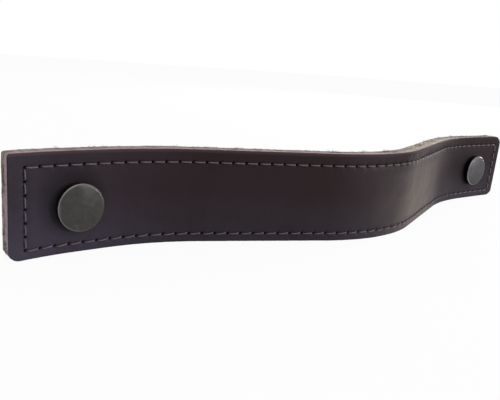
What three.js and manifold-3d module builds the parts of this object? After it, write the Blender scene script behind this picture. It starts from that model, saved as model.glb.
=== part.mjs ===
// Leather furniture handle: a strap of two stitched plies, bowed out between two flat feet.
// A button on each foot has a threaded barrel through the leather, which takes a screw from behind.
// Millimetres. X runs along the strap, +Y points into the furniture and +Z is up.
import * as THREE from 'three';
import { mergeGeometries, mergeVertices } from 'three/addons/utils/BufferGeometryUtils.js';
import Module from 'manifold-3d';

const wasm = await Module();
wasm.setup();

// Strap
const LENGTH = 205; // end to end, as mounted
const WIDTH = 25;
const FRONT_PLY = 2.6;
const BACK_PLY = 2.1;
const GLUE_LINE = 0.1;
const FOOT_LENGTH = 23.5; // flat on the furniture, from an end to its bend
const BEND_ANGLE = THREE.MathUtils.degToRad(21.5); // slope of the strap between bend and crown
const BEND_RADIUS = 75; // back face, where the strap leaves the furniture
const CROWN_RADIUS = 46; // back face, over the middle
const LOWER_CORNER_RADIUS = 2.4;
const UPPER_LEFT_CORNER_RADIUS = 0.8;
const UPPER_RIGHT_CORNER_RADIUS = 3;
const ARC_DIVISIONS = 4;
const CORNER_DIVISIONS = 4;

// Stitching, a row of lockstitches all round
const STITCH_PITCH = 3.6; // each row rounds it to a whole number of stitches
const UPPER_MARGIN = 3.4;
const LOWER_MARGIN = 2.3;
const END_MARGIN = 3.5;
const THREAD_SIZE = 0.54;
const THREAD_CLEARANCE = 0.05;
const LEG_SPREAD = 0.9; // between the two legs of thread where they enter one hole
const MITRE_LIMIT = Math.SQRT2; // how far a sharp turn stretches the thread's section
const FRONT_GROOVE_DEPTH = 0.35;
const GROOVE_WIDTH = 1;

// Buttons and screws
const HOLE_INSET = 17.25; // from each end
const HOLE_DROP = 1; // below the middle of the width
const CAP_DIAMETER = 11.8;
const CAP_HEIGHT = 2.1;
const CAP_DOME = 0.2;
const CAP_RIM_RADIUS = 0.6;
const BARREL_DIAMETER = 6;
const BARREL_CLEARANCE = 0.15; // all round, in the leather
const BORE_DEPTH = 5; // from the furniture into the barrel
const SCREW_DIAMETER = 4;
const SCREW_LENGTH = 20; // under its head
const SCREW_CLEARANCE = 0.05; // all round, in the bore
const SCREW_POINT = 0.6; // chamfer at its tip
const HEAD_DIAMETER = 8;
const HEAD_HEIGHT = 2.6;
const HEAD_ROUND = 1;
const RECESS_WIDTH = 1;
const RECESS_LENGTH = 4;
const RECESS_DEPTH = 1.6;
const FURNITURE_FRONT = 16; // thickness of the board that the screws reach through
const ROUND_SEGMENTS = 20;

// Worked out from the sizes above
const THICKNESS = BACK_PLY + GLUE_LINE + FRONT_PLY;
const HALF_THREAD = THREAD_SIZE / 2;
const THREAD_ROOM = HALF_THREAD + THREAD_CLEARANCE;
const BACK_GROOVE_DEPTH = 2 * THREAD_ROOM; // the back stitches lie below the face
const HALF_HOLE = LEG_SPREAD / 2 + THREAD_ROOM;
const TWIST_ROOM = Math.SQRT2 * HALF_THREAD + THREAD_CLEARANCE; // the thread twists at a corner
const HALF_CORNER_HOLE = LEG_SPREAD / 2 + TWIST_ROOM;
const END_X = LENGTH / 2;
const BEND_X = END_X - FOOT_LENGTH;
const BEND_RUN = (BEND_RADIUS + CROWN_RADIUS) * Math.sin(BEND_ANGLE);
const SLOPE_LENGTH = (BEND_X - BEND_RUN) / Math.cos(BEND_ANGLE);
const BEND_RISE = (BEND_RADIUS + CROWN_RADIUS) * (1 - Math.cos(BEND_ANGLE));
const RISE = BEND_RISE + SLOPE_LENGTH * Math.sin(BEND_ANGLE);
const UPPER_ROW_Z = WIDTH - UPPER_MARGIN;
const LOWER_ROW_Z = LOWER_MARGIN;
const ROW_X = END_X - END_MARGIN;
const HOLE_X = END_X - HOLE_INSET;
const HOLE_Z = WIDTH / 2 - HOLE_DROP;
const NEEDLE_RUN = THICKNESS - FRONT_GROOVE_DEPTH + THREAD_ROOM;
const FRONT_REACH = RISE + NEEDLE_RUN + HALF_THREAD;
const BACK_REACH = FURNITURE_FRONT + HEAD_HEIGHT;

const DARK_LEATHER = new THREE.MeshStandardMaterial({ color: 0x33282c, roughness: 0.55 });
const LINING_LEATHER = new THREE.MeshStandardMaterial({ color: 0x8d7c72, roughness: 0.9 });
const THREAD = new THREE.MeshStandardMaterial({ color: 0x6f625f, roughness: 0.8 });
const GUNMETAL = new THREE.MeshStandardMaterial({ color: 0x45443f, roughness: 0.4, metalness: 0.9 });
const ZINC_PLATE = new THREE.MeshStandardMaterial({ color: 0xb4b6b8, roughness: 0.35, metalness: 1 });

// Solids for joining and cutting
function toSolid(geometry) {
  const bare = geometry.index ? geometry.clone() : geometry;
  bare.deleteAttribute('normal');
  bare.deleteAttribute('uv');
  const merged = mergeVertices(bare, 1e-5);
  const vertProperties = new Float32Array(merged.attributes.position.array);
  const triVerts = new Uint32Array(merged.index.array);
  return new wasm.Manifold(new wasm.Mesh({ numProp: 3, vertProperties, triVerts }));
}

function toGeometry(solid) {
  const { vertProperties, triVerts } = solid.getMesh();
  const geometry = new THREE.BufferGeometry();
  geometry.setAttribute('position', new THREE.BufferAttribute(vertProperties, 3));
  geometry.setIndex(new THREE.BufferAttribute(triVerts, 1));
  geometry.computeVertexNormals();
  return geometry;
}

function boxBetween(low, high) {
  const size = high.map((value, axis) => value - low[axis]);
  const box = new THREE.BoxGeometry(...size);
  return box.translate(...low.map((value, axis) => value + size[axis] / 2));
}

// The strap seen from above: the line that lies so far in front of its back face
function strapLine(offset) {
  const crownY = CROWN_RADIUS - RISE;
  const up = Math.PI / 2;
  const line = new THREE.Path();
  line.moveTo(-END_X, -offset);
  line.lineTo(-BEND_X, -offset);
  line.absarc(-BEND_X, -BEND_RADIUS, BEND_RADIUS - offset, up, up - BEND_ANGLE, true);
  line.absarc(0, crownY, CROWN_RADIUS + offset, -up - BEND_ANGLE, -up + BEND_ANGLE, false);
  line.absarc(BEND_X, -BEND_RADIUS, BEND_RADIUS - offset, up + BEND_ANGLE, up, true);
  line.lineTo(END_X, -offset);
  return line;
}

// A layer of the strap between two offsets, over a stretch of its width
function strapLayer(nearOffset, farOffset, lowZ, highZ) {
  const near = strapLine(nearOffset).getPoints(ARC_DIVISIONS);
  const far = strapLine(farOffset).getPoints(ARC_DIVISIONS);
  const outline = new THREE.Shape([...far, ...near.reverse()]);
  const layer = new THREE.ExtrudeGeometry(outline, { depth: highZ - lowZ, bevelEnabled: false });
  return toSolid(layer.translate(0, 0, lowZ));
}

// The strap's outline from the front, with a radius at each corner
function frontOutline() {
  const right = Math.PI / 2;
  const low = LOWER_CORNER_RADIUS;
  const left = UPPER_LEFT_CORNER_RADIUS;
  const far = UPPER_RIGHT_CORNER_RADIUS;
  const outline = new THREE.Shape();
  outline.absarc(-END_X + low, low, low, -2 * right, -right, false);
  outline.absarc(END_X - low, low, low, -right, 0, false);
  outline.absarc(END_X - far, WIDTH - far, far, 0, right, false);
  outline.absarc(-END_X + left, WIDTH - left, left, right, 2 * right, false);
  const depth = 2 * (RISE + THICKNESS);
  const options = { depth, bevelEnabled: false, curveSegments: CORNER_DIVISIONS };
  const prism = new THREE.ExtrudeGeometry(outline, options);
  return toSolid(prism.translate(0, 0, -depth / 2).rotateX(right));
}

// Needle holes, in order round the strap
function rowHoles() {
  const frontLine = strapLine(THICKNESS);
  const length = frontLine.getLength();
  const rowLength = length - 2 * END_MARGIN;
  const across = UPPER_ROW_Z - LOWER_ROW_Z;
  const alongCount = Math.round(rowLength / STITCH_PITCH);
  const acrossCount = Math.round(across / STITCH_PITCH) + 1;
  const station = (distance, z) => {
    const point = frontLine.getPoint(distance / length);
    const along = frontLine.getTangent(distance / length);
    return {
      face: new THREE.Vector3(point.x, point.y, z),
      along: new THREE.Vector3(along.x, along.y, 0),
      outward: new THREE.Vector3(along.y, -along.x, 0),
    };
  };
  const holes = [];
  for (let i = 0; i < alongCount; i++) {
    holes.push(station(END_MARGIN + (rowLength * i) / alongCount, UPPER_ROW_Z));
  }
  for (let i = 0; i < acrossCount; i++) {
    holes.push(station(length - END_MARGIN, UPPER_ROW_Z - (across * i) / acrossCount));
  }
  for (let i = 0; i < alongCount; i++) {
    holes.push(station(length - END_MARGIN - (rowLength * i) / alongCount, LOWER_ROW_Z));
  }
  for (let i = 0; i < acrossCount; i++) {
    holes.push(station(END_MARGIN, LOWER_ROW_Z + (across * i) / acrossCount));
  }
  return holes;
}

// Which way the row runs into each hole and out of it
function addDirections(holes) {
  const down = new THREE.Vector3(0, 0, -1);
  const direction = (from, to) => {
    const across = Math.abs(from.face.z - to.face.z) > Number.EPSILON;
    if (across) return down.clone().multiplyScalar(Math.sign(from.face.z - to.face.z));
    return null;
  };
  return holes.map((hole, i) => {
    const before = holes.at(i - 1);
    const after = holes[(i + 1) % holes.length];
    const upper = hole.face.z > WIDTH / 2;
    const along = hole.along.clone().multiplyScalar(upper ? 1 : -1);
    return {
      ...hole,
      into: direction(before, hole) ?? along,
      out: direction(hole, after) ?? along,
    };
  });
}

const HOLES = addDirections(rowHoles());

function atOffset(hole, offset) {
  return hole.face.clone().addScaledVector(hole.outward, offset - THICKNESS);
}

// A slot along the row, or a square where the row turns
function holeCutter(hole) {
  const turns = Math.abs(hole.into.dot(hole.out)) < 0.5;
  const half = turns ? [HALF_CORNER_HOLE, HALF_CORNER_HOLE] : [HALF_HOLE, THREAD_ROOM];
  const slot = new THREE.BoxGeometry(2 * half[0], 4 * THICKNESS, 2 * half[1]);
  const across = new THREE.Vector3().crossVectors(hole.out, hole.outward);
  const place = new THREE.Matrix4().makeBasis(hole.out, hole.outward, across);
  return slot.applyMatrix4(place.setPosition(hole.face));
}

const HOLE_CUTTERS = toSolid(mergeGeometries(HOLES.map(holeCutter)));

// A groove under the whole row, between two offsets
function groove(nearOffset, farOffset) {
  const past = ROW_X + HALF_CORNER_HOLE;
  const rows = [UPPER_ROW_Z, LOWER_ROW_Z].map((z) => {
    return strapLayer(nearOffset, farOffset, z - GROOVE_WIDTH / 2, z + GROOVE_WIDTH / 2);
  });
  const reach = RISE + 2 * THICKNESS;
  const between = toSolid(boxBetween([-past, -reach, 0], [past, reach, WIDTH]));
  const columns = [-ROW_X, ROW_X].map((x) => {
    const low = [x - GROOVE_WIDTH / 2, -farOffset, LOWER_ROW_Z];
    const high = [x + GROOVE_WIDTH / 2, -nearOffset, UPPER_ROW_Z];
    return toSolid(boxBetween(low, high));
  });
  return rows[0].add(rows[1]).intersect(between).add(columns[0]).add(columns[1]);
}

function barrelHole(x) {
  const radius = BARREL_DIAMETER / 2 + BARREL_CLEARANCE;
  const hole = new THREE.CylinderGeometry(radius, radius, 4 * THICKNESS, ROUND_SEGMENTS);
  return toSolid(hole.translate(x, 0, HOLE_Z));
}

function leatherPly(nearOffset, farOffset, rowGroove) {
  const ply = strapLayer(nearOffset, farOffset, 0, WIDTH)
    .intersect(frontOutline())
    .subtract(rowGroove)
    .subtract(HOLE_CUTTERS)
    .subtract(barrelHole(-HOLE_X))
    .subtract(barrelHole(HOLE_X));
  return toGeometry(ply);
}

// One thread round the whole strap: along the face, and down and up again in every hole
function threadLoop(runOffset, diveOffset) {
  const leg = LEG_SPREAD / 2;
  const knots = HOLES.flatMap((hole) => {
    const run = atOffset(hole, runOffset);
    const dive = atOffset(hole, diveOffset);
    const through = hole.into.clone().add(hole.out).normalize();
    const side = (direction) => new THREE.Vector3().crossVectors(direction, hole.outward);
    return [
      { point: run.clone().addScaledVector(hole.into, -leg), side: side(hole.into) },
      { point: dive, side: side(through) },
      { point: run.clone().addScaledVector(hole.out, leg), side: side(hole.out) },
    ];
  });
  const corners = [[1, 1], [-1, 1], [-1, -1], [1, -1]];
  const positions = knots.flatMap(({ point, side }, i) => {
    const before = knots.at(i - 1).point;
    const after = knots[(i + 1) % knots.length].point;
    const arriving = point.clone().sub(before).normalize();
    const leaving = after.clone().sub(point).normalize();
    const tangent = arriving.clone().add(leaving).normalize();
    const lift = new THREE.Vector3().crossVectors(side, tangent);
    lift.multiplyScalar(HALF_THREAD * Math.min(1 / arriving.dot(tangent), MITRE_LIMIT));
    return corners.flatMap(([s, l]) => {
      const corner = point.clone().addScaledVector(side, s * HALF_THREAD);
      return corner.addScaledVector(lift, l).toArray();
    });
  });
  const faces = knots.flatMap((knot, i) => {
    const here = corners.length * i;
    const next = corners.length * ((i + 1) % knots.length);
    return corners.flatMap((corner, k) => {
      const l = (k + 1) % corners.length;
      return [here + l, here + k, next + l, next + l, here + k, next + k];
    });
  });
  const geometry = new THREE.BufferGeometry();
  geometry.setAttribute('position', new THREE.Float32BufferAttribute(positions, 3));
  geometry.setIndex(faces);
  geometry.computeVertexNormals();
  return geometry;
}

// A turned button: a low domed cap and a barrel with a blind bore
function buttonCap() {
  const capRadius = CAP_DIAMETER / 2;
  const rimX = capRadius - CAP_RIM_RADIUS;
  const rimY = -THICKNESS - CAP_HEIGHT + CAP_DOME + CAP_RIM_RADIUS;
  const boreRadius = SCREW_DIAMETER / 2 + SCREW_CLEARANCE;
  const profile = new THREE.Path();
  profile.moveTo(0, -THICKNESS - CAP_HEIGHT);
  profile.lineTo(rimX / 2, -THICKNESS - CAP_HEIGHT + CAP_DOME / 4);
  profile.lineTo(rimX, rimY - CAP_RIM_RADIUS);
  profile.absarc(rimX, rimY, CAP_RIM_RADIUS, -Math.PI / 2, 0, false);
  profile.lineTo(capRadius, -THICKNESS);
  profile.lineTo(BARREL_DIAMETER / 2, -THICKNESS);
  profile.lineTo(BARREL_DIAMETER / 2, 0);
  profile.lineTo(boreRadius, 0);
  profile.lineTo(boreRadius, -BORE_DEPTH);
  profile.lineTo(0, -BORE_DEPTH);
  return new THREE.LatheGeometry(profile.getPoints(2), ROUND_SEGMENTS);
}

// A pan-head machine screw with a cross recess, in from the back of the board
function machineScrew() {
  const radius = SCREW_DIAMETER / 2;
  const headRadius = HEAD_DIAMETER / 2;
  const tip = FURNITURE_FRONT - SCREW_LENGTH;
  const top = FURNITURE_FRONT + HEAD_HEIGHT;
  const profile = new THREE.Path();
  profile.moveTo(0, tip);
  profile.lineTo(radius - SCREW_POINT, tip);
  profile.lineTo(radius, tip + SCREW_POINT);
  profile.lineTo(radius, FURNITURE_FRONT);
  profile.lineTo(headRadius, FURNITURE_FRONT);
  profile.lineTo(headRadius, top - HEAD_ROUND);
  profile.absarc(headRadius - HEAD_ROUND, top - HEAD_ROUND, HEAD_ROUND, 0, Math.PI / 2, false);
  profile.lineTo(0, top);
  const blank = toSolid(new THREE.LatheGeometry(profile.getPoints(2), ROUND_SEGMENTS));
  const wing = [RECESS_LENGTH / 2, RECESS_WIDTH / 2];
  const recess = [wing, wing.toReversed()].map(([x, z]) => {
    return toSolid(boxBetween([-x, top - RECESS_DEPTH, -z], [x, top + HEAD_HEIGHT, z]));
  });
  return toGeometry(blank.subtract(recess[0]).subtract(recess[1]));
}

function piece(name, geometry, material) {
  const mesh = new THREE.Mesh(geometry, material);
  mesh.name = name;
  return mesh;
}

const frontGroove = groove(THICKNESS - FRONT_GROOVE_DEPTH, 2 * THICKNESS);
const backGroove = groove(-THICKNESS, BACK_GROOVE_DEPTH);
const bobbinRun = THREAD_ROOM;
const bobbinDive = BACK_PLY - THREAD_ROOM;
const needleDive = BACK_PLY + GLUE_LINE + THREAD_ROOM;

const handle = new THREE.Group();
handle.add(
  piece('front_leather', leatherPly(BACK_PLY + GLUE_LINE, THICKNESS, frontGroove), DARK_LEATHER),
  piece('back_leather', leatherPly(0, BACK_PLY, backGroove), LINING_LEATHER),
  piece('needle_thread', threadLoop(NEEDLE_RUN, needleDive), THREAD),
  piece('bobbin_thread', threadLoop(bobbinRun, bobbinDive), THREAD),
);

for (const [side, x] of [['left', -HOLE_X], ['right', HOLE_X]]) {
  const fixing = new THREE.Group();
  fixing.position.set(x, 0, HOLE_Z);
  fixing.add(piece(`${side}_button`, buttonCap(), GUNMETAL));
  fixing.add(piece(`${side}_screw`, machineScrew(), ZINC_PLATE));
  handle.add(fixing);
}

// The origin is under the middle of the whole handle, screws included
handle.position.y = (FRONT_REACH - BACK_REACH) / 2;

const model = new THREE.Group();
model.add(handle);

export default model;
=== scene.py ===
# Looks of the stitched leather furniture handle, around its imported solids.
# The frame is in metres: X along the strap, +Y into the furniture, +Z up.
import math

import bpy
import numpy as np
from mathutils import Matrix, Vector


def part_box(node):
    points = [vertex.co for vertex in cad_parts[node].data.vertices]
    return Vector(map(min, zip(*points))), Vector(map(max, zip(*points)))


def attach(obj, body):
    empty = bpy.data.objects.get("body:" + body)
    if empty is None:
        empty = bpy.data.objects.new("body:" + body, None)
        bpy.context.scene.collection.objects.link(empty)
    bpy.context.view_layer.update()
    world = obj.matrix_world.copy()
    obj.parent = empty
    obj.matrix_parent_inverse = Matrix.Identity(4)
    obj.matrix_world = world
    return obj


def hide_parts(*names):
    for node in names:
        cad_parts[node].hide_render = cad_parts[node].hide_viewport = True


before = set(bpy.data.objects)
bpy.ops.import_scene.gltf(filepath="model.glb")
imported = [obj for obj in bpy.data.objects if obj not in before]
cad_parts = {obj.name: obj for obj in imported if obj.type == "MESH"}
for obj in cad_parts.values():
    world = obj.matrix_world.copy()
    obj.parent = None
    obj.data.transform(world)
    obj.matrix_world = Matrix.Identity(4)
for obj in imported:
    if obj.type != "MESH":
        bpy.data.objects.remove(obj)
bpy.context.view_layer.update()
RANDOM_SEED = 7
rng = np.random.default_rng(RANDOM_SEED)
MM = 0.001
FULL_TURN = 2 * math.pi

# The strap's size comes from the solids
back_low, back_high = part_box("back_leather")
LENGTH = back_high.x - back_low.x
WIDTH = back_high.z - back_low.z
WALL_Y = back_high.y
button_low, button_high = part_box("left_button")
HOLE_X = -(button_low.x + button_high.x) / 2
HOLE_Z = (button_low.z + button_high.z) / 2
CAP_RADIUS = (button_high.x - button_low.x) / 2
CAP_TOP = button_low.y

# The strap's section and bends, as the solids have them
FRONT_PLY = 2.6 * MM
BACK_PLY = 2.1 * MM
GLUE_LINE = 0.1 * MM
THICKNESS = FRONT_PLY + GLUE_LINE + BACK_PLY
FOOT_LENGTH = 23.5 * MM
BEND_ANGLE = math.radians(21.5)
BEND_RADIUS = 75 * MM
CROWN_RADIUS = 46 * MM

# The strap's corners, and how far its loose ends curl off the furniture
LOWER_LEFT_CORNER = 2.8 * MM
LOWER_RIGHT_CORNER = 3 * MM
UPPER_LEFT_CORNER = 0.8 * MM
UPPER_RIGHT_CORNER = 4 * MM
LEFT_LIFT = 1.6 * MM
RIGHT_LIFT = 0.3 * MM

# Stitching
STITCH_PITCH = 3.6 * MM
UPPER_MARGIN = 3.4 * MM
LOWER_MARGIN = 2.3 * MM
LEFT_MARGIN = 4.1 * MM
RIGHT_MARGIN = 3.5 * MM

# Camera, from the photo's outlines
CAMERA_PLACE = Vector((-134.85, -119.98, 46.41)) * MM
CAMERA_YAW = math.radians(34.71)
CAMERA_PITCH = math.radians(14.07)
CAMERA_ROLL = math.radians(3.94)
PICTURE_WIDTH = 500
PICTURE_HEIGHT = 400
FOCAL_PIXELS = 549.8
CENTRE_PIXEL = (193.9, 200.9)
NEAREST_SEEN = 5 * MM
FARTHEST_SEEN = 20

# Studio: each lamp's name, place, size, power in watts and colour. All aim at the origin.
LAMPS = [
    ("key", (-0.3, -0.9, 1.3), (1.2, 1.0), 3.5, (1, 1, 1)),
    ("right", (1.0, 0.22, 0.2), (0.5, 0.3), 14, (1, 0.96, 0.92)),
    ("side", (0.7, -0.7, 0.1), (0.35, 0.3), 5.5, (1, 1, 1)),
]
WHITE = (1, 1, 1, 1)
SOFT_COLOR = (0.94, 0.96, 1, 1)
SOFT_STRENGTH = 0.55
FLOOR_COLOR = (0.9, 0.9, 0.9, 1)
FLOOR_GLOW = 0.94
FLOOR_REACH = 6


# Camera and light

def add_camera():
    data = bpy.data.cameras.new("camera")
    camera = bpy.data.objects.new("camera", data)
    bpy.context.scene.collection.objects.link(camera)
    bpy.context.scene.camera = camera
    forward = Vector((
        math.sin(CAMERA_YAW) * math.cos(CAMERA_PITCH),
        math.cos(CAMERA_YAW) * math.cos(CAMERA_PITCH),
        -math.sin(CAMERA_PITCH),
    ))
    level = Vector((math.cos(CAMERA_YAW), -math.sin(CAMERA_YAW), 0))
    above = level.cross(forward)
    right = level * math.cos(CAMERA_ROLL) + above * math.sin(CAMERA_ROLL)
    up = above * math.cos(CAMERA_ROLL) - level * math.sin(CAMERA_ROLL)
    turn = Matrix((right, up, -forward)).transposed()
    camera.matrix_world = Matrix.Translation(CAMERA_PLACE) @ turn.to_4x4()
    data.lens = FOCAL_PIXELS / PICTURE_WIDTH * data.sensor_width
    data.shift_x = (PICTURE_WIDTH / 2 - CENTRE_PIXEL[0]) / PICTURE_WIDTH
    data.shift_y = (CENTRE_PIXEL[1] - PICTURE_HEIGHT / 2) / PICTURE_WIDTH
    data.clip_start = NEAREST_SEEN
    data.clip_end = FARTHEST_SEEN


def add_lamp(name, place, size, power, color):
    data = bpy.data.lights.new(name, "AREA")
    data.shape = "RECTANGLE"
    data.size, data.size_y = size
    data.energy = power
    data.color = color
    lamp = bpy.data.objects.new(name, data)
    bpy.context.scene.collection.objects.link(lamp)
    lamp.location = place
    lamp.rotation_euler = (-Vector(place)).to_track_quat("-Z", "Y").to_euler()


def seen_rays(nodes, links):
    """1 for the rays that see the backdrop: the camera's, and those off gloss or through glass."""
    path = nodes.new("ShaderNodeLightPath")
    total = path.outputs["Is Camera Ray"]
    for kind in ("Is Glossy Ray", "Is Transmission Ray"):
        add = nodes.new("ShaderNodeMath")
        add.use_clamp = True
        links.new(total, add.inputs[0])
        links.new(path.outputs[kind], add.inputs[1])
        total = add.outputs["Value"]
    return total


def add_world():
    world = bpy.data.worlds.new("studio")
    bpy.context.scene.world = world
    world.use_nodes = True
    nodes, links = world.node_tree.nodes, world.node_tree.links
    nodes.clear()
    output = nodes.new("ShaderNodeOutputWorld")
    seen = nodes.new("ShaderNodeBackground")
    seen.inputs["Color"].default_value = WHITE
    soft = nodes.new("ShaderNodeBackground")
    soft.inputs["Color"].default_value = SOFT_COLOR
    soft.inputs["Strength"].default_value = SOFT_STRENGTH
    mix = nodes.new("ShaderNodeMixShader")
    links.new(seen_rays(nodes, links), mix.inputs[0])
    links.new(soft.outputs[0], mix.inputs[1])
    links.new(seen.outputs[0], mix.inputs[2])
    links.new(mix.outputs[0], output.inputs["Surface"])


# The strap's line, measured along its front face

class StrapLine:
    """Where the front face runs, and how it slopes, at each distance from the left end.

    Past the buttons the ends curl a little off the furniture, as leather does.
    """

    STEPS = 6000

    def __init__(self):
        turn = (BEND_RADIUS + CROWN_RADIUS) * math.sin(BEND_ANGLE)
        slope = (LENGTH / 2 - FOOT_LENGTH - turn) / math.cos(BEND_ANGLE)
        bend = (BEND_RADIUS - THICKNESS) * BEND_ANGLE
        crown = (CROWN_RADIUS + THICKNESS) * BEND_ANGLE
        lengths = [FOOT_LENGTH, bend, slope, crown, crown, slope, bend, FOOT_LENGTH]
        angles = [0, 0, BEND_ANGLE, BEND_ANGLE, 0, -BEND_ANGLE, -BEND_ANGLE, 0, 0]
        knots = np.concatenate([[0], np.cumsum(lengths)])
        self.length = knots[-1]
        self.s = np.linspace(0, self.length, self.STEPS)
        self.slope = np.interp(self.s, knots, angles)
        middle = (self.slope[1:] + self.slope[:-1]) / 2
        step = np.diff(self.s)
        self.x = -LENGTH / 2 + np.concatenate([[0], np.cumsum(np.cos(middle) * step)])
        out = np.concatenate([[0], np.cumsum(np.sin(middle) * step)])
        lift_length = LENGTH / 2 - HOLE_X
        left = np.clip(1 - self.s / lift_length, 0, 1)
        right = np.clip(1 - (self.length - self.s) / lift_length, 0, 1)
        self.y = WALL_Y - THICKNESS - out - LEFT_LIFT * left**2 - RIGHT_LIFT * right**2

    def at(self, s, depth, z):
        """Points at arrays of distance, depth behind the front face, and height."""
        s = np.asarray(s, float)
        slope = np.interp(s, self.s, self.slope)
        x = np.interp(s, self.s, self.x) + depth * np.sin(slope)
        y = np.interp(s, self.s, self.y) + depth * np.cos(slope)
        return np.stack([x, y, np.broadcast_to(z, x.shape)], -1)


line = StrapLine()
UPPER_ROW = WIDTH - UPPER_MARGIN
LOWER_ROW = LOWER_MARGIN
RIGHT_COLUMN = line.length - RIGHT_MARGIN
ROW_COUNT = round((line.length - LEFT_MARGIN - RIGHT_MARGIN) / STITCH_PITCH)
END_COUNT = round((UPPER_ROW - LOWER_ROW) / STITCH_PITCH) + 1


def needle_holes():
    """(distance, height) of every needle hole, in order round the strap."""
    along = np.linspace(LEFT_MARGIN, RIGHT_COLUMN, ROW_COUNT + 1)
    across = np.linspace(UPPER_ROW, LOWER_ROW, END_COUNT + 1)
    holes = [(s, UPPER_ROW) for s in along[:-1]]
    holes += [(RIGHT_COLUMN, z) for z in across[:-1]]
    holes += [(s, LOWER_ROW) for s in along[:0:-1]]
    holes += [(LEFT_MARGIN, z) for z in across[:0:-1]]
    return np.array(holes)


HOLES = needle_holes()


# Material helpers

# The colour sockets of a Mix node, which has sockets for every kind of value
MIX_FIRST = 6
MIX_SECOND = 7
MIX_RESULT = 2


class Graph:
    """A material's node tree, with short calls to add nodes and links."""

    def __init__(self, name):
        self.material = bpy.data.materials.new(name)
        self.material.use_nodes = True
        self.nodes = self.material.node_tree.nodes
        self.links = self.material.node_tree.links
        self.nodes.clear()
        self.shader = self.nodes.new("ShaderNodeBsdfPrincipled")
        output = self.nodes.new("ShaderNodeOutputMaterial")
        self.links.new(self.shader.outputs["BSDF"], output.inputs["Surface"])

    def feed(self, socket, value):
        """Links an output to a socket, or sets the socket to a plain value."""
        if isinstance(value, bpy.types.NodeSocket):
            self.links.new(value, socket)
        else:
            socket.default_value = value

    def set(self, **values):
        """Feeds the shader's inputs, whose names have underscores for spaces here."""
        for name, value in values.items():
            self.feed(self.shader.inputs[name.replace("_", " ")], value)

    def scaled(self, source, scale):
        mapping = self.nodes.new("ShaderNodeMapping")
        mapping.inputs["Scale"].default_value = scale
        self.links.new(source, mapping.inputs["Vector"])
        return mapping.outputs["Vector"]

    def place(self, scale=(1, 1, 1)):
        """Place in the frame, in metres."""
        return self.scaled(self.nodes.new("ShaderNodeTexCoord").outputs["Object"], scale)

    def strap_place(self, scale=(1, 1, 1)):
        """Distance along the strap as X and height as Y, in metres."""
        return self.scaled(self.nodes.new("ShaderNodeUVMap").outputs["UV"], scale)

    def axis(self, vector, name):
        axes = self.nodes.new("ShaderNodeSeparateXYZ")
        self.links.new(vector, axes.inputs["Vector"])
        return axes.outputs[name]

    def noise(self, vector, scale, detail, roughness, distortion=0.0):
        node = self.nodes.new("ShaderNodeTexNoise")
        self.links.new(vector, node.inputs["Vector"])
        node.inputs["Scale"].default_value = scale
        node.inputs["Detail"].default_value = detail
        node.inputs["Roughness"].default_value = roughness
        node.inputs["Distortion"].default_value = distortion
        return node.outputs["Fac"]

    def cells(self, vector, scale, feature="F1"):
        node = self.nodes.new("ShaderNodeTexVoronoi")
        node.feature = feature
        self.links.new(vector, node.inputs["Vector"])
        node.inputs["Scale"].default_value = scale
        return node.outputs["Distance"]

    def span(self, value, low, high, to_low=0.0, to_high=1.0):
        """Goes from to_low to to_high while the value goes from low to high, and no further."""
        node = self.nodes.new("ShaderNodeMapRange")
        self.feed(node.inputs["Value"], value)
        node.inputs["From Min"].default_value = low
        node.inputs["From Max"].default_value = high
        node.inputs["To Min"].default_value = to_low
        node.inputs["To Max"].default_value = to_high
        return node.outputs["Result"]

    def math(self, operation, first, second=0.0):
        node = self.nodes.new("ShaderNodeMath")
        node.operation = operation
        self.feed(node.inputs[0], first)
        self.feed(node.inputs[1], second)
        return node.outputs["Value"]

    def product(self, first, *others):
        for other in others:
            first = self.math("MULTIPLY", first, other)
        return first

    def mix(self, factor, first, second, blend="MIX"):
        node = self.nodes.new("ShaderNodeMix")
        node.data_type = "RGBA"
        node.blend_type = blend
        self.feed(node.inputs["Factor"], factor)
        self.feed(node.inputs[MIX_FIRST], first)
        self.feed(node.inputs[MIX_SECOND], second)
        return node.outputs[MIX_RESULT]

    def coat(self, base, coats):
        """Lays (share, colour) coats over a base colour, in their order."""
        for share, color in coats:
            base = self.mix(share, base, color)
        return base

    def distance(self, vector, point):
        node = self.nodes.new("ShaderNodeVectorMath")
        node.operation = "DISTANCE"
        self.links.new(vector, node.inputs[0])
        node.inputs[1].default_value = (*point, 0)
        return node.outputs["Value"]

    def attribute(self, name):
        node = self.nodes.new("ShaderNodeAttribute")
        node.attribute_name = name
        return node.outputs["Fac"]

    def bump(self, layers):
        """Stacks (height, distance, strength) layers on each other."""
        normal = None
        for height, distance, strength in layers:
            node = self.nodes.new("ShaderNodeBump")
            node.inputs["Distance"].default_value = distance
            node.inputs["Strength"].default_value = strength
            self.links.new(height, node.inputs["Height"])
            if normal is not None:
                self.links.new(normal, node.inputs["Normal"])
            normal = node.outputs["Normal"]
        self.links.new(normal, self.shader.inputs["Normal"])


def srgb(red, green, blue):
    """A colour written as the 0 to 255 numbers of a screen, by the sRGB formula."""
    def linear(level):
        level /= 255
        return level / 12.92 if level <= 0.04045 else ((level + 0.055) / 1.055) ** 2.4
    return (linear(red), linear(green), linear(blue), 1)


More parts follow.
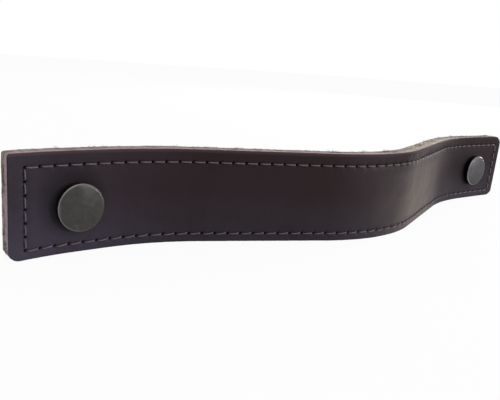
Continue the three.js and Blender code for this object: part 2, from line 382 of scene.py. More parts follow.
# Where the tones change. Each is a span that the change takes, from where it starts to where it
# is complete: of distance along the strap, of height, or of X for the thread and the metal.
FAR_END = (150 * MM, 180 * MM)
# Painted sheen on the left foot, stronger low down
LEFT_SHEEN = (42 * MM, 3 * MM)
LOW_LEFT_SHEEN = (16 * MM, 2 * MM)
RIGHT_TONE = (156 * MM, 183 * MM)
# Painted light from below on the lower part of the strap
LOWER_BOUNCE_LIGHT = (14 * MM, 0)
# Spans of the painted highlight on the right bend
BEND_START = (101 * MM, 127 * MM)
BEND_END = (166 * MM, 146 * MM)
BEND_HEIGHT = (22 * MM, 11 * MM)
# Spans of the painted shade on the top margin over the right bend
TOP_BEND_START = (96 * MM, 116 * MM)
TOP_BEND_END = (182 * MM, 165 * MM)
TOP_BEND_HEIGHT = (18 * MM, 22.5 * MM)
# Spans of the painted crease streaks beside the right bend
FOLD_START = (114 * MM, 120 * MM)
FOLD_END = (140 * MM, 132 * MM)
ROUNDED_HEIGHT = (24 * MM, 24.8 * MM)
EDGE_FAR = (104 * MM, 122 * MM)
EDGE_END = (172 * MM, 190 * MM)
EDGE_LOW = (19 * MM, 11 * MM)
THREAD_FAR = (66 * MM, 80 * MM)
# Span of the painted shade on the right button
RIGHT_CAP_SHADE = (0, MM)

# Painted crease highlights and shade beside the bend: the height they run at, and how far from it they
# fade
FOLD_CENTRE = 22 * MM
FOLD_REACH = (1.9 * MM, 1 * MM)

# Painted shadow on the leather round each button: where it fades, and its centre's place from the
# button's
SHADOW_REACH = (5.8 * MM, 9.5 * MM)
SHADOW_SHIFT = -1.7 * MM
LEFT_SHADOW_RISE = 1.7 * MM
RIGHT_SHADOW_RISE = 0.3 * MM

# The values of needle_hole, 0 to 1, between which painted shade darkens the leather in the needle holes
HOLE_SHADE = (0.05, 0.6)


# Materials

def button_shadow_distance(g, strap):
    """Distance from the middle of the nearer painted button shadow."""
    from_end = LENGTH / 2 - HOLE_X
    left = (from_end + SHADOW_SHIFT, HOLE_Z + LEFT_SHADOW_RISE)
    right = (line.length - from_end + SHADOW_SHIFT, HOLE_Z + RIGHT_SHADOW_RISE)
    return g.math("MINIMUM", g.distance(strap, left), g.distance(strap, right))


def painted_fold_share(g, along, high):
    """How strongly the painted crease streaks, light and dark, show beside the right bend, 0 to 1."""
    off_fold = g.math("ABSOLUTE", g.math("SUBTRACT", high, FOLD_CENTRE))
    return g.product(
        g.span(along, *FOLD_START), g.span(along, *FOLD_END), g.span(off_fold, *FOLD_REACH)
    )


def grain_leather():
    g = Graph("grain_leather")
    strap = g.strap_place()
    along = g.axis(strap, "X")
    high = g.axis(strap, "Y")
    clouds = g.noise(strap, scale=28, detail=3, roughness=0.5)
    patches = g.noise(strap, scale=110, detail=4, roughness=0.6)
    pores = g.cells(strap, scale=2600)
    wrinkles = g.cells(strap, scale=900, feature="DISTANCE_TO_EDGE")
    creases = g.noise(g.strap_place((3.5, 1, 1)), scale=160, detail=3, roughness=0.6, distortion=0.4)
    streaks = g.noise(g.strap_place((1.6, 0.5, 1)), scale=620, detail=2, roughness=0.5)

    # Parts of the strap with a tone of their own, and places of painted light and shade: sheen on the
    # left foot, light low down, a highlight on the right bend, shade on its top margin, crease streaks,
    # needle holes
    far = g.span(along, *FAR_END)
    left = g.span(along, *LEFT_SHEEN)
    low_left_sheen = g.product(left, g.span(high, *LOW_LEFT_SHEEN, to_high=0.8))
    bend_width = g.product(g.span(along, *BEND_START), g.span(along, *BEND_END))
    bend_highlight = g.product(bend_width, g.span(high, *BEND_HEIGHT, to_low=0.1, to_high=0.87))
    top_width = g.product(g.span(along, *TOP_BEND_START), g.span(along, *TOP_BEND_END))
    top_bend_shade = g.product(top_width, g.span(high, *TOP_BEND_HEIGHT))
    fold_light_and_shade = painted_fold_share(g, along, high)
    # Where the painted shade in the needle holes goes, fainter towards the right end
    hole = g.span(g.attribute("needle_hole"), *HOLE_SHADE)
    hole = g.product(hole, g.span(far, 0, 1, to_low=1, to_high=0.45))
    rounded = g.product(g.span(high, *ROUNDED_HEIGHT), g.span(far, 0, 1, to_low=1, to_high=0.2))

    base = g.mix(g.span(clouds, 0.35, 0.68), srgb(41, 29, 31), srgb(46, 36, 41))
    base = g.coat(base, [
        (g.span(along, *RIGHT_TONE, to_high=0.9), srgb(28, 15, 20)),
        # Painted light: lighter and bluer low down, and a bluish sheen on the left foot
        (g.span(high, *LOWER_BOUNCE_LIGHT, to_high=0.85), srgb(52, 47, 55)),
        (g.product(left, 0.7), srgb(51, 45, 55)),
        (low_left_sheen, srgb(66, 61, 75)),
        # Painted highlight, pale and warm, across the right bend, weaker at the top
        (bend_highlight, srgb(78, 68, 62)),
        # Painted shade on the top margin over the right bend
        (g.product(top_bend_shade, 0.75), srgb(24, 14, 12)),
        # Creases painted as pale highlight streaks and dark shade streaks
        (g.product(fold_light_and_shade, g.span(streaks, 0.5, 0.6)), srgb(84, 74, 71)),
        (g.product(fold_light_and_shade, g.span(streaks, 0.46, 0.38)), srgb(16, 11, 12)),
        # Painted shadow of each button on the leather beside it
        (g.span(button_shadow_distance(g, strap), *SHADOW_REACH, to_low=0.6, to_high=0), srgb(16, 13, 17)),
        (g.span(patches, 0.45, 0.75, to_high=0.4), srgb(36, 26, 28)),
        (g.span(pores, 0, 0.35, to_low=0.3, to_high=0), srgb(24, 18, 20)),
        # Painted shade in the needle holes
        (hole, srgb(9, 6, 8)),
        (g.product(rounded, 0.7), srgb(82, 66, 68)),
    ])
    matt = g.span(patches, 0.3, 0.7, to_low=0.44, to_high=0.56)
    shine = g.span(far, 0, 1, to_low=0.08, to_high=0.045)
    shine = g.product(shine, g.span(top_bend_shade, 0, 1, to_low=1, to_high=0.3))
    g.set(
        Base_Color=base,
        Roughness=g.math("ADD", matt, g.product(rounded, 0.35)),
        Specular_IOR_Level=shine,
    )
    g.bump([(creases, 0.12 * MM, 0.1), (wrinkles, 0.05 * MM, 0.35), (pores, 0.04 * MM, 0.3)])
    return g.material


def cut_edge():
    g = Graph("cut_edge")
    strap = g.strap_place()
    fibres = g.noise(g.place((0.25, 1, 1)), scale=2600, detail=5, roughness=0.7)
    blots = g.noise(g.place(), scale=260, detail=4, roughness=0.6)
    far = g.span(g.axis(strap, "X"), *EDGE_FAR)
    front = g.mix(far, srgb(165, 140, 148), srgb(160, 146, 132))
    near = g.mix(g.span(g.axis(strap, "Y"), *EDGE_LOW), srgb(140, 132, 124), srgb(150, 133, 142))
    back = g.mix(far, near, srgb(156, 147, 133))
    depth = g.math("ADD", g.attribute("depth"), g.product(blots, 0.3))
    base = g.coat(g.mix(g.span(depth, 0.35, 0.85), front, back), [
        (g.span(fibres, 0.4, 0.75, to_high=0.6), srgb(190, 176, 164)),
        (g.span(blots, 0.52, 0.72, to_high=0.5), srgb(112, 92, 92)),
        (g.span(g.axis(strap, "X"), *EDGE_END), srgb(100, 93, 86)),
    ])
    g.set(Base_Color=base, Roughness=0.9, Specular_IOR_Level=0.2)
    g.bump([(blots, 0.3 * MM, 0.4), (fibres, 0.12 * MM, 0.7)])
    return g.material


def flesh_side():
    g = Graph("flesh_side")
    strap = g.strap_place()
    nap = g.noise(strap, scale=1800, detail=6, roughness=0.75)
    drift = g.noise(strap, scale=60, detail=4, roughness=0.6)
    base = g.mix(g.span(nap, 0.35, 0.7), srgb(118, 102, 90), srgb(160, 143, 127))
    base = g.coat(base, [
        (g.span(drift, 0.4, 0.65, to_high=0.5), srgb(128, 110, 98)),
        # Painted shade in the needle holes
        (g.span(g.attribute("needle_hole"), *HOLE_SHADE), srgb(40, 32, 28)),
    ])
    g.set(Base_Color=base, Roughness=0.95, Specular_IOR_Level=0.15)
    g.set(Sheen_Weight=0.25, Sheen_Roughness=0.6)
    g.bump([(drift, 0.3 * MM, 0.3), (nap, 0.15 * MM, 0.8)])
    return g.material


def raw_fibre():
    g = Graph("raw_fibre")
    shade = g.noise(g.place(), scale=300, detail=2, roughness=0.55)
    base = g.mix(shade, srgb(128, 116, 108), srgb(168, 158, 144))
    g.set(Base_Color=base, Roughness=0.9, Specular_IOR_Level=0.1)
    return g.material


def thread_fibre():
    g = Graph("thread_fibre")
    place = g.place()
    fuzz = g.noise(place, scale=5000, detail=3, roughness=0.6)
    wear = g.noise(place, scale=90, detail=3, roughness=0.5)
    base = g.mix(g.span(fuzz, 0.3, 0.7), srgb(82, 74, 80), srgb(126, 114, 120))
    base = g.coat(base, [
        (g.span(wear, 0.4, 0.7, to_high=0.5), srgb(96, 86, 93)),
        (g.span(g.axis(place, "X"), *THREAD_FAR, to_high=0.7), srgb(130, 110, 123)),
    ])
    g.set(Base_Color=base, Roughness=0.75, Specular_IOR_Level=0.1, Sheen_Weight=0.05)
    g.bump([(fuzz, 0.04 * MM, 0.6)])
    return g.material


def gunmetal():
    g = Graph("gunmetal")
    place = g.place()
    patina = g.noise(place, scale=700, detail=5, roughness=0.65)
    specks = g.noise(place, scale=3200, detail=3, roughness=0.6)
    glint_blotches = g.noise(place, scale=150, detail=2, roughness=0.5)
    # Painted shade: the right button is a darker, bluer copy of the same metal
    right_cap_shade = (0.66, 0.62, 0.72, 1)
    base = g.mix(g.span(patina, 0.35, 0.7), srgb(58, 57, 55), srgb(67, 66, 64))
    # Pale blotches on the metal: painted reflections
    base = g.mix(g.span(glint_blotches, 0.5, 0.62, to_high=0.7), base, srgb(86, 84, 83))
    base = g.mix(g.span(g.axis(place, "X"), *RIGHT_CAP_SHADE), base, right_cap_shade, "MULTIPLY")
    # Lighter finish by the wear attribute: a painted highlight round the cap's rim, and wear at the
    # barrel's end and mouth
    base = g.mix(g.span(g.attribute("wear"), 0.2, 1), base, srgb(140, 138, 137))
    g.set(Base_Color=base, Roughness=g.span(specks, 0.3, 0.7, to_low=0.3, to_high=0.46), Metallic=1.0)
    g.bump([(patina, 0.05 * MM, 0.25), (specks, 0.02 * MM, 0.3)])
    return g.material


def zinc_plate():
    g = Graph("zinc_plate")
    cloud = g.noise(g.place(), scale=500, detail=4, roughness=0.6)
    base = g.mix(cloud, srgb(186, 188, 190), srgb(214, 214, 210))
    g.set(Base_Color=base, Roughness=g.span(cloud, 0.3, 0.7, to_low=0.26, to_high=0.38), Metallic=1.0)
    g.bump([(cloud, 0.02 * MM, 0.2)])
    return g.material


# Mesh helpers

RIPPLE_WAVES = 14
RIPPLE_SPREAD = (0.6, 1.6)


def add_mesh(name, points, faces, materials, face_materials=None):
    """A smooth-shaded mesh, in the first material where it isn't told otherwise."""
    mesh = bpy.data.meshes.new(name)
    mesh.from_pydata([tuple(p) for p in points], [], [tuple(f) for f in faces])
    for material in materials:
        mesh.materials.append(material)
    if face_materials is not None:
        mesh.polygons.foreach_set("material_index", np.asarray(face_materials, np.int32))
    mesh.polygons.foreach_set("use_smooth", np.full(len(mesh.polygons), True))
    mesh.update()
    piece = bpy.data.objects.new(name, mesh)
    bpy.context.scene.collection.objects.link(piece)
    return piece


def add_values(piece, name, values):
    attribute = piece.data.attributes.new(name, "FLOAT", "POINT")
    attribute.data.foreach_set("value", np.asarray(values, np.float32))


def add_strap_coordinates(piece, s, z):
    layer = piece.data.uv_layers.new(name="strap")
    corners = np.empty(len(piece.data.loops), np.int32)
    piece.data.loops.foreach_get("vertex_index", corners)
    layer.data.foreach_set("uv", np.stack([s[corners], z[corners]], -1).astype(np.float32).ravel())


def seat(piece, slot, *nodes):
    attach(piece, "root")
    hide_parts(*nodes)


def ring_faces(first, rings, sides):
    """The quads between rings of points that are numbered from a first point on."""
    faces = []
    for ring in range(rings - 1):
        here = first + ring * sides
        there = here + sides
        for k in range(sides):
            m = (k + 1) % sides
            faces.append((here + k, there + k, there + m, here + m))
    return faces


def tube_faces(first, rings, sides):
    """The same quads, with a flat face on each end."""
    last = first + (rings - 1) * sides
    ends = [tuple(range(first, first + sides)), tuple(reversed(range(last, last + sides)))]
    return ring_faces(first, rings, sides) + ends


def ripple(points, wavelength, seed):
    """Smooth noise, about -1 to 1, from a sum of waves in random directions."""
    waves = np.random.default_rng(seed)
    total = np.zeros(len(points))
    for _ in range(RIPPLE_WAVES):
        direction = waves.normal(size=points.shape[1])
        direction /= np.linalg.norm(direction)
        reach = wavelength * waves.uniform(*RIPPLE_SPREAD)
        phase = waves.uniform(0, FULL_TURN)
        total += np.sin(points @ direction * FULL_TURN / reach + phase)
    return total / math.sqrt(RIPPLE_WAVES)


# Leather

EDGE_ROUND = 0.3 * MM
SEAM_ROUND = 0.08 * MM

# Needle holes are slanted ovals, in leather that the stitches pull in along their rows
HOLE_DEPTH = 1 * MM
HOLE_REACH = 0.32 * MM
HOLE_NARROWING = 0.7
HOLE_SLANT = math.radians(35)
HOLE_WINDOW = 3 * MM
PULL_DEPTH = 0.16 * MM
PULL_REACH = 0.75 * MM
FAR_SHALLOWNESS = 0.7

# The raw edges' roughness, finer noise on coarser, and the faces' slight unevenness
FRONT_ROUGHNESS = 0.05 * MM
BACK_ROUGHNESS = 0.14 * MM
COARSE_WAVE, COARSE_SEED = 7 * MM, 3
FINE_WAVE, FINE_SEED = 1.6 * MM, 4
LEVEL_WAVE, LEVEL_SEED = 22 * MM, 5
LEVEL_DEPTH = 0.04 * MM

# Lattice lines: a coarse step, and offsets from holes and edges that need closer ones
COARSE_STEP = 1 * MM
LINE_GAP = 0.05 * MM
NEAR_HOLE = np.array([-0.9, -0.6, -0.4, -0.22, 0, 0.22, 0.4, 0.6, 0.9]) * MM
NEAR_END_HOLE = np.array([-0.5, -0.25, 0, 0.25, 0.5]) * MM
NEAR_EDGE = np.array([0, 0.08, 0.16, 0.3, 0.6]) * MM
RIM_LINES = 4
CORE_LINES = 5
CORE_SPAN = (0.15, 0.85)
ROLLED_LINES = 2

# Places of the grain, the cut edge and the flesh side in a ply's list of materials
GRAIN_PLACE, EDGE_PLACE, FLESH_PLACE = 0, 1, 2


def tidy_lines(values, length):
    """Sorted lattice lines over a length, none closer than a small gap, none far apart."""
    values = np.unique(np.clip(values, 0, length))
    kept = [values[0]]
    for value in values[1:]:
        if value - kept[-1] >= LINE_GAP or value == length:
            kept.append(value)
    filled = [kept[0]]
    for value in kept[1:]:
        pieces = max(1, math.ceil((value - filled[-1]) / COARSE_STEP))
        filled += list(np.linspace(filled[-1], value, pieces + 1)[1:])
    return np.array(filled)


def ply_lines(thickness):
    """A ply's lattice lines along the strap, up it, and behind the ply's front."""
    s_lines = [s + step for s in HOLES[:, 0] for step in NEAR_HOLE]
    s_lines += list(NEAR_EDGE) + list(line.length - NEAR_EDGE)
    z_lines = [z + step for z in (UPPER_ROW, LOWER_ROW) for step in NEAR_HOLE]
    end_heights = HOLES[ROW_COUNT:ROW_COUNT + END_COUNT, 1]
    z_lines += [z + step for z in end_heights for step in NEAR_END_HOLE]
    z_lines += list(NEAR_EDGE) + list(WIDTH - NEAR_EDGE)
    rim = NEAR_EDGE[:RIM_LINES]
    core = np.linspace(*CORE_SPAN, CORE_LINES) * thickness
    core = core[(core > rim[-1]) & (core < thickness - rim[-1])]
    d_lines = np.concatenate([rim, core, (thickness - rim)[::-1]])
    return tidy_lines(s_lines, line.length), tidy_lines(z_lines, WIDTH), d_lines


def lattice(s_lines, z_lines, d_lines):
    """The surface of a box of lattice lines: its points' indices and its quads by side."""
    shape = (len(s_lines), len(z_lines), len(d_lines))
    outside = np.zeros(shape, bool)
    outside[[0, -1]] = True
    outside[:, [0, -1]] = True
    outside[:, :, [0, -1]] = True
    ids = np.full(shape, -1)
    ids[outside] = np.arange(outside.sum())

    def quads(sheet, flip):
        corners = [sheet[:-1, :-1], sheet[1:, :-1], sheet[1:, 1:], sheet[:-1, 1:]]
        if flip:
            corners.reverse()
        return np.stack([c.ravel() for c in corners], -1)

    sides = {
        "front": quads(ids[:, :, 0], False),
        "back": quads(ids[:, :, -1], True),
        "left": quads(ids[0], False),
        "right": quads(ids[-1], True),
        "lower": quads(ids[:, 0], True),
        "upper": quads(ids[:, -1], False),
    }
    return np.argwhere(outside), sides


def round_edges(place, limits, front_round, back_round):
    """Moves points of a box to its rounded edges, each onto a ball round the nearest inner point."""
    in_front = place[:, 2] < limits[2] / 2
    radius = np.where(in_front, front_round, back_round)
    low = np.stack([radius, radius, np.where(in_front, front_round, 0)], -1)
    high = limits - np.stack([radius, radius, np.where(in_front, 0, back_round)], -1)
    inner = np.clip(place, low, high)
    away = place - inner
    reach = np.linalg.norm(away, axis=1)
    scale = np.divide(radius, reach, out=np.zeros(len(reach)), where=reach > 0)
    return inner + away * np.minimum(scale, 1)[:, None]


def hole_strength(s, z):
    """How deep in a needle hole each point lies, 0 to 1, and how near a hole it is."""
    hole = np.zeros(len(s))
    pull = np.zeros(len(s))
    for hole_s, hole_z in HOLES:
        near = (np.abs(s - hole_s) < HOLE_WINDOW) & (np.abs(z - hole_z) < HOLE_WINDOW)
        ds, dz = s[near] - hole_s, z[near] - hole_z
        along = ds * math.cos(HOLE_SLANT) + dz * math.sin(HOLE_SLANT)
        across = dz * math.cos(HOLE_SLANT) - ds * math.sin(HOLE_SLANT)
        reach = (along / HOLE_REACH) ** 2 + (across / (HOLE_NARROWING * HOLE_REACH)) ** 2
        hole[near] = np.maximum(hole[near], np.exp(-reach))
        pull[near] = np.maximum(pull[near], np.exp(-(ds**2 + dz**2) / PULL_REACH**2))
    return hole, pull


def row_strength(s, z):
    """How near each point is to the line of the stitches."""
    off_row = np.minimum(np.abs(z - UPPER_ROW), np.abs(z - LOWER_ROW))
    off_end = np.minimum(np.abs(s - LEFT_MARGIN), np.abs(s - RIGHT_COLUMN))
    inside = (s > LEFT_MARGIN) & (s < RIGHT_COLUMN)
    between = (z > LOWER_ROW) & (z < UPPER_ROW)
    distance = np.minimum(np.where(inside, off_row, np.inf), np.where(between, off_end, np.inf))
    return np.exp(-((distance / PULL_REACH) ** 2))


def corner_squeeze(s, z):
    """Moves heights in from the edges where the strap's corners are rounded."""
    def inset(distance, radius):
        short = np.clip(radius - distance, 0, radius)
        return radius - np.sqrt(radius**2 - short**2)

    far = line.length - s
    low = np.maximum(inset(s, LOWER_LEFT_CORNER), inset(far, LOWER_RIGHT_CORNER))
    high = np.maximum(inset(s, UPPER_LEFT_CORNER), inset(far, UPPER_RIGHT_CORNER))
    near_low = np.clip(1 - z / LOWER_MARGIN, 0, 1)
    near_high = np.clip(1 - (WIDTH - z) / UPPER_MARGIN, 0, 1)
    return z + low * near_low - high * near_high


def edge_roughness(s, z, d, amount, front_round):
    """How far in a raw edge lies at each point, from nothing at the ply's front."""
    spots = np.stack([s, z, d * 2], -1)
    waves = ripple(spots, COARSE_WAVE, COARSE_SEED) + ripple(spots, FINE_WAVE, FINE_SEED)
    return np.clip(amount * (waves + 1), 0, None) * np.clip(d / front_round / 2, 0, 1)


def stitch_sink(s, z, hole, pull):
    """How far the stitches and the leather's own unevenness sink a face at each point."""
    far = np.clip((s - FAR_END[0]) / (FAR_END[1] - FAR_END[0]), 0, 1)
    stitched = hole * HOLE_DEPTH * (1 - FAR_SHALLOWNESS * far)
    pulled = PULL_DEPTH * (pull + row_strength(s, z) / 2)
    level = LEVEL_DEPTH * ripple(np.stack([s, z], -1), LEVEL_WAVE, LEVEL_SEED)
    return stitched + pulled + np.clip(level, 0, None)


def add_ply(name, node, near, far, front_round, back_round, materials):
    """One leather ply between two depths behind the strap's front face."""
    is_front = near == 0
    thickness = far - near
    s_lines, z_lines, d_lines = ply_lines(thickness)
    index, sides = lattice(s_lines, z_lines, d_lines)
    s_index, z_index, d_index = index.T
    place = np.stack([s_lines[s_index], z_lines[z_index], d_lines[d_index]], -1)
    limits = np.array([line.length, WIDTH, thickness])
    s, z, d = round_edges(place, limits, front_round, back_round).T

    # The raw edge is uneven
    on_end = (s_index == 0) | (s_index == len(s_lines) - 1)
    on_side = (z_index == 0) | (z_index == len(z_lines) - 1)
    rough = edge_roughness(s, z, d, FRONT_ROUGHNESS if is_front else BACK_ROUGHNESS, front_round)
    z = z + np.where(on_side, np.where(z < WIDTH / 2, rough, -rough), 0)
    s = s + np.where(on_end, np.where(s < line.length / 2, rough, -rough), 0)

    # The outer face is pulled in by the stitches
    on_front = d_index == 0
    on_back = d_index == len(d_lines) - 1
    hole, pull = hole_strength(s, z)
    sink = stitch_sink(s, z, hole, pull)
    outer = on_front if is_front else on_back
    d = d + np.where(outer, sink if is_front else -sink, 0)
    points = line.at(s, near + d, corner_squeeze(s, z))

    # The grain rolls a little way over the front ply's edges
    faces = np.concatenate(list(sides.values()))
    side_places = {"front": GRAIN_PLACE, "back": FLESH_PLACE}
    face_materials = np.concatenate([
        np.full(len(quads), side_places.get(side, EDGE_PLACE)) for side, quads in sides.items()
    ])
    rolled = d_index[faces].max(1) <= ROLLED_LINES
    if is_front:
        face_materials[rolled & (face_materials == EDGE_PLACE)] = GRAIN_PLACE
    piece = add_mesh(name, points, faces, materials, face_materials)
    add_values(piece, "needle_hole", np.where(on_front | on_back, hole, 0))
    add_values(piece, "depth", (near + d) / THICKNESS)
    add_strap_coordinates(piece, s, z)
    seat(piece, node, node)
    return piece


# Loose fibres on the raw edges, a little tuft at a time

TUFTS = 70
TUFT_SPREAD = 0.45 * MM
TUFT_DEPTHS = (0.35, 0.97)
UPPER_SHARE = 0.7
UPPER_CLEARANCE = 3 * MM
END_CLEARANCE = 2 * MM
FIBRES_PER_TUFT = 12
FIBRE_RADIUS = 0.05 * MM
FIBRE_TAPER = 0.8
FIBRE_REACHES = (0.15 * MM, 0.75 * MM)
FIBRE_LIE = 0.8 * MM
FIBRE_STEPS = 5
FIBRE_SIDES = 3
ROOT_INSET = 0.15 * MM
ROOT_DEPTH = 0.8 * MM
TIP_DEPTH = 0.6 * MM
BACK_CLEARANCE = 0.2 * MM


def fibre_roots():
    """(distance, depth, height) of every root and the way out of its edge, along and up."""
    roots = []
    for _ in range(TUFTS):
        depth = rng.uniform(*TUFT_DEPTHS) * THICKNESS
        if rng.random() < UPPER_SHARE:
            tuft_s = rng.uniform(UPPER_CLEARANCE, line.length - UPPER_CLEARANCE)
            tuft_z = WIDTH - ROOT_INSET
            out = (0, 1)
        else:
            tuft_s = ROOT_INSET
            tuft_z = rng.uniform(END_CLEARANCE, WIDTH - END_CLEARANCE)
            out = (-1, 0)
        for _ in range(FIBRES_PER_TUFT):
            shift = rng.normal(size=2) * TUFT_SPREAD
            root_depth = np.clip(depth + shift[1], ROOT_DEPTH, THICKNESS - BACK_CLEARANCE)
            roots.append((tuft_s + shift[0] * out[1], root_depth, tuft_z + shift[0] * out[0], *out))
    return roots


def add_fibres():
    t = np.linspace(0, 1, FIBRE_STEPS)
    turns = -np.linspace(0, FULL_TURN, FIBRE_SIDES, endpoint=False)
    radius = (FIBRE_RADIUS * (1 - FIBRE_TAPER * t))[:, None]
    points, faces = [], []
    for s, depth, z, along, up in fibre_roots():
        reach = rng.uniform(*FIBRE_REACHES)
        lie = rng.normal(size=2) * FIBRE_LIE
        path_s = s + along * reach * t + up * lie[0] * t**2
        path_z = z + up * reach * t + abs(along) * lie[0] * t**2
        path_d = np.clip(depth + lie[1] * t**2, TIP_DEPTH, THICKNESS)
        centre = line.at(path_s, path_d, path_z)
        ring = np.repeat(centre[:, None], FIBRE_SIDES, axis=1)
        first, second = (0, 1) if up else (2, 1)
        ring[:, :, first] += radius * np.cos(turns)
        ring[:, :, second] += radius * np.sin(turns)
        faces += tube_faces(len(points), FIBRE_STEPS, FIBRE_SIDES)
        points += list(ring.reshape(-1, 3))
    piece = add_mesh("edge_fibres", points, faces, [FIBRE])
    seat(piece, "back_leather", "back_leather")


# Thread

THREAD_RADIUS = 0.2 * MM
STRANDS = 3
STRAND_RELIEF = 0.14
TWISTS_PER_STITCH = 1.5
STITCH_STEPS = 18
STITCH_SIDES = 12
STITCH_INSET = 0.42 * MM
STITCH_PROUD = 0.16 * MM
PROUD_SPREAD = 0.03 * MM
STITCH_DIVE = 0.75 * MM
DIVE_POWER = 7
END_TAPER = 0.25
TAPER_POWER = 6

# How far a stitch leans off its row, and the share of that in the upper row and the end columns
STITCH_SLANT = 0.17 * MM
SLANT_SPREAD = (0.6, 1.4)
UPPER_LEAN = -0.2
END_LEAN = 0.3


def stitch_rings(start, end, lean, front):
    """Rings of points of one twisted thread that dives into the holes at its two ends."""
    t = np.linspace(0, 1, STITCH_STEPS)
    turns = np.linspace(0, FULL_TURN, STITCH_SIDES, endpoint=False)
    length = np.linalg.norm(end - start)
    along = (end - start) / length
    across = np.array([-along[1], along[0]])
    proud = STITCH_PROUD + PROUD_SPREAD * rng.normal()
    distance = STITCH_INSET + t * (length - 2 * STITCH_INSET)
    from_middle = 2 * t - 1
    plan = start + distance[:, None] * along + (lean * from_middle)[:, None] * across
    height = proud - STITCH_DIVE * np.abs(from_middle) ** DIVE_POWER
    depth = -height if front else THICKNESS + height
    centre = line.at(plan[:, 0], depth, plan[:, 1])
    tangent = np.gradient(centre, axis=0)
    tangent /= np.linalg.norm(tangent, axis=1)[:, None]
    outward = line.at(plan[:, 0], depth - MM, plan[:, 1]) - centre
    side = np.cross(tangent, outward)
    side /= np.linalg.norm(side, axis=1)[:, None]
    lift = np.cross(side, tangent)
    phase = rng.uniform(0, FULL_TURN)
    twist = FULL_TURN * TWISTS_PER_STITCH * t[:, None] + phase
    strands = 1 - STRAND_RELIEF + STRAND_RELIEF * np.cos(STRANDS * (turns + twist))
    taper = 1 - END_TAPER * np.abs(from_middle) ** TAPER_POWER
    radius = THREAD_RADIUS * strands * taper[:, None]
    return (
        centre[:, None]
        + side[:, None] * (radius * np.cos(turns))[:, :, None]
        + lift[:, None] * (radius * np.sin(turns))[:, :, None]
    )


def add_stitches(name, node, front):
    """Every stitch on one face of the strap."""
    points, faces = [], []
    for number, start in enumerate(HOLES):
        end = HOLES[(number + 1) % len(HOLES)]
        lean = STITCH_SLANT * rng.uniform(*SLANT_SPREAD)
        if number < ROW_COUNT:
            lean *= UPPER_LEAN
        elif end[0] == start[0]:
            lean *= END_LEAN
        faces += tube_faces(len(points), STITCH_STEPS, STITCH_SIDES)
        points += list(stitch_rings(start, end, lean, front).reshape(-1, 3))
    piece = add_mesh(name, points, faces, [THREAD_FIBRE])
    seat(piece, "thread", node)


# Turned metal

BARREL_RADIUS = 3 * MM
BARREL_CLEARANCE = 0.15 * MM
BARREL_CHAMFER = 0.15 * MM
BORE_RADIUS = 2.05 * MM
BORE_DEPTH = 5 * MM
BORE_CHAMFER = 0.1 * MM
CAP_DOME = 0.1 * MM
CAP_RIM = 0.6 * MM
CAP_CHAMFER_WIDTH = 0.12 * MM
CAP_CHAMFER_HEIGHT = 0.15 * MM
DOME_SHARES = (0.15, 0.35, 0.55, 0.7, 0.83)
BUTTON_SEGMENTS = 96
DRILL_SEGMENTS = 64

# Share of the lighter finish, 0 to 1: a painted highlight by the angle round the cap's rim, and wear at
# the barrel's end and in its mouth
CAP_RIM_GLINT = {0: 0, 10: 0.3, 24: 0.15, 40: 0.5, 54: 1, 68: 1, 80: 0.5, 90: 0.3}
BARREL_WEAR = 0.4
MOUTH_WEAR = 0.2


def turned(name, profile, x, segments, materials):
    """A closed turned piece from (radius, y, wear) rows that start and end on its axis. The wear value
    also carries the painted highlight round a cap's rim.
    """
    turns = np.linspace(0, FULL_TURN, segments, endpoint=False)
    points = [(x, profile[0][1], HOLE_Z)]
    wears = [profile[0][2]]
    for radius, y, wear in profile[1:-1]:
        points += [(x + radius * math.cos(turn), y, HOLE_Z + radius * math.sin(turn)) for turn in turns]
        wears += [wear] * segments
    points.append((x, profile[-1][1], HOLE_Z))
    wears.append(profile[-1][2])
    rings = len(profile) - 2
    faces = ring_faces(1, rings, segments)
    final = 1 + (rings - 1) * segments
    for k in range(segments):
        m = (k + 1) % segments
        faces.append((0, 1 + k, 1 + m))
        faces.append((final + m, final + k, len(points) - 1))
    piece = add_mesh(name, points, faces, materials)
    add_values(piece, "wear", wears)
    return piece


def cut_away(piece, bit):
    """Takes a closed bit out of a closed piece."""
    cut = piece.modifiers.new("cut", "BOOLEAN")
    cut.operation = "DIFFERENCE"
    cut.solver = "MANIFOLD"
    cut.object = bit
    ready = piece.evaluated_get(bpy.context.evaluated_depsgraph_get())
    left = bpy.data.meshes.new_from_object(ready)
    piece.modifiers.clear()
    piece.data = left
    bpy.data.objects.remove(bit)


def drill(piece, x):
    """Cuts the round hole of a button's barrel through a ply."""
    radius = BARREL_RADIUS + BARREL_CLEARANCE
    near, far = WALL_Y - 2 * THICKNESS, WALL_Y + THICKNESS
    rows = [(0, near, 0), (radius, near, 0), (radius, far, 0), (0, far, 0)]
    bit = turned("bit", rows, x, DRILL_SEGMENTS, list(piece.data.materials))
    wall = np.full(len(bit.data.polygons), EDGE_PLACE, np.int32)
    bit.data.polygons.foreach_set("material_index", wall)
    cut_away(piece, bit)


